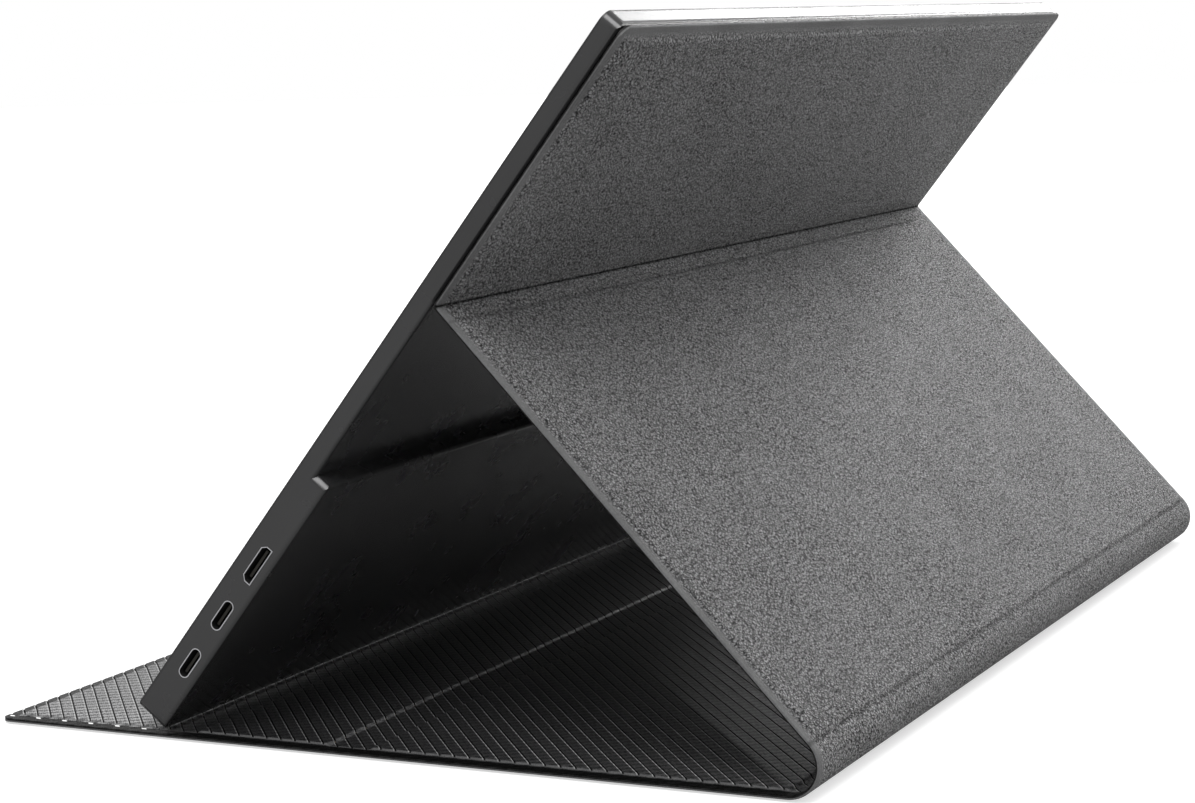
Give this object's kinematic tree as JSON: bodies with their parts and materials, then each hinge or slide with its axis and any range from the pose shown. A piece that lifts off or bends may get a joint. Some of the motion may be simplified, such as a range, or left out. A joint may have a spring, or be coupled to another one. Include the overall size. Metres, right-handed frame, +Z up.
{
  "type": "portable monitor with cover",
  "caption": "Slim portable monitor leaning on its folded cover, with a stepped rear housing, side sockets, a rolled spine and a base that creases flat under the screen.",
  "frame": {"origin": "centre of the bounding box's underside, on the surface that the cover's base rests on", "axes": "+X towards the side with the USB-C and mini HDMI sockets, +Y from the base's front edge to the spine, with the screen facing -Y, +Z up"},
  "size_m": [0.357, 0.2314, 0.1834],
  "materials": {
    "housing": "satin moulded plastic",
    "frame": "matt black",
    "key": "matt black",
    "glass": "gloss black behind clear glass",
    "lcd": "dark polarised",
    "light_guide": "clear acrylic with white film",
    "tin": "tinned sheet",
    "steel": "plain steel",
    "port_metal": "nickel plated",
    "circuit": "green solder mask",
    "film": "amber flat cable",
    "magnet": "nickel plated magnet",
    "leather": "grained dark grey synthetic leather",
    "lining": "ribbed dark lining",
    "greyboard": "pressed fibre board"
  },
  "bodies": {
    "base": {"rear_leather": "leather", "rear_board": "greyboard", "rear_lining": "lining"},
    "middle": {"rear_crease_leather": "leather", "rear_crease_lining": "lining", "mid_leather": "leather", "mid_board": "greyboard", "mid_lining": "lining"},
    "flap": {"front_crease_leather": "leather", "front_crease_lining": "lining", "flap_leather": "leather", "flap_board": "greyboard", "flap_lining": "lining"},
    "spine": {"spine_leather": "leather", "spine_lining": "lining"},
    "strut": {"strut_leather": "leather", "strut_board": "greyboard", "strut_lining": "lining", "fold_leather": "leather", "fold_lining": "lining"},
    "screen": {"rear_housing": "housing", "front_frame": "frame", "front_glass": "glass", "lcd_panel": "lcd", "light_guide": "light_guide", "panel_tray": "tin", "keeper_plates": "steel", "main_board": "circuit", "shield_can": "tin", "button_board": "circuit", "board_screws": "steel", "display_ribbon": "film", "usb_c_socket_lower": "port_metal", "usb_c_socket_upper": "port_metal", "mini_hdmi_socket": "port_metal", "headphone_socket": "frame", "power_switch": "port_metal", "rocker_pin": "steel", "menu_switches": "port_metal", "speaker_left": "frame", "speaker_right": "frame", "back_leather": "leather", "back_board": "greyboard", "back_lining": "lining", "cover_magnets": "magnet"},
    "power_key": {"power_button": "key"},
    "menu_key": {"menu_rocker": "key"}
  },
  "joints": [
    {"name": "spine_fold", "type": "hinge", "parent": "base", "child": "spine", "pos_m": [0, 0.11196, 0.002], "axis": [-1, 0, 0], "range_deg": [0, 65.6], "deforming": ["spine_leather", "spine_lining"]},
    {"name": "strut_fold", "type": "hinge", "parent": "spine", "child": "strut", "pos_m": [0, 0.11554, 0.01036], "axis": [-1, 0, 0], "range_deg": [0, 65.6]},
    {"name": "back_fold", "type": "hinge", "parent": "strut", "child": "screen", "pos_m": [0, 0.01839, 0.11379], "axis": [1, 0, 0], "range_deg": [0, 76.2], "deforming": ["fold_leather", "fold_lining"]},
    {"name": "middle_fold", "type": "hinge", "parent": "base", "child": "middle", "pos_m": [0, -0.01153, 0.0011], "axis": [-1, 0, 0], "range_deg": [0, 29.7], "deforming": ["rear_crease_leather", "rear_crease_lining"]},
    {"name": "flap_fold", "type": "hinge", "parent": "middle", "child": "flap", "pos_m": [0, -0.06047, 0.0011], "axis": [-1, 0, 0], "range_deg": [0, 59.2], "deforming": ["front_crease_leather", "front_crease_lining"]},
    {"name": "power_press", "type": "slide", "parent": "screen", "child": "power_key", "axis": [1, 0, 0], "range_m": [0, 0.0004], "stiffness_N_per_m": 900},
    {"name": "menu_rock", "type": "hinge", "parent": "screen", "child": "menu_key", "pos_m": [-0.175, -0.04157, 0.03812], "axis": [0, -0.7869, 0.617], "range_deg": [-2.5, 2.5], "stiffness_Nm_per_rad": 0.06}
  ],
  "couplings": [
    {"joint": "strut_fold", "follows": "spine_fold", "ratio": 1},
    {"joint": "back_fold", "follows": "spine_fold", "ratio": 1.16},
    {"joint": "middle_fold", "follows": "spine_fold", "ratio": 0.45},
    {"joint": "flap_fold", "follows": "spine_fold", "ratio": 0.9}
  ]
}
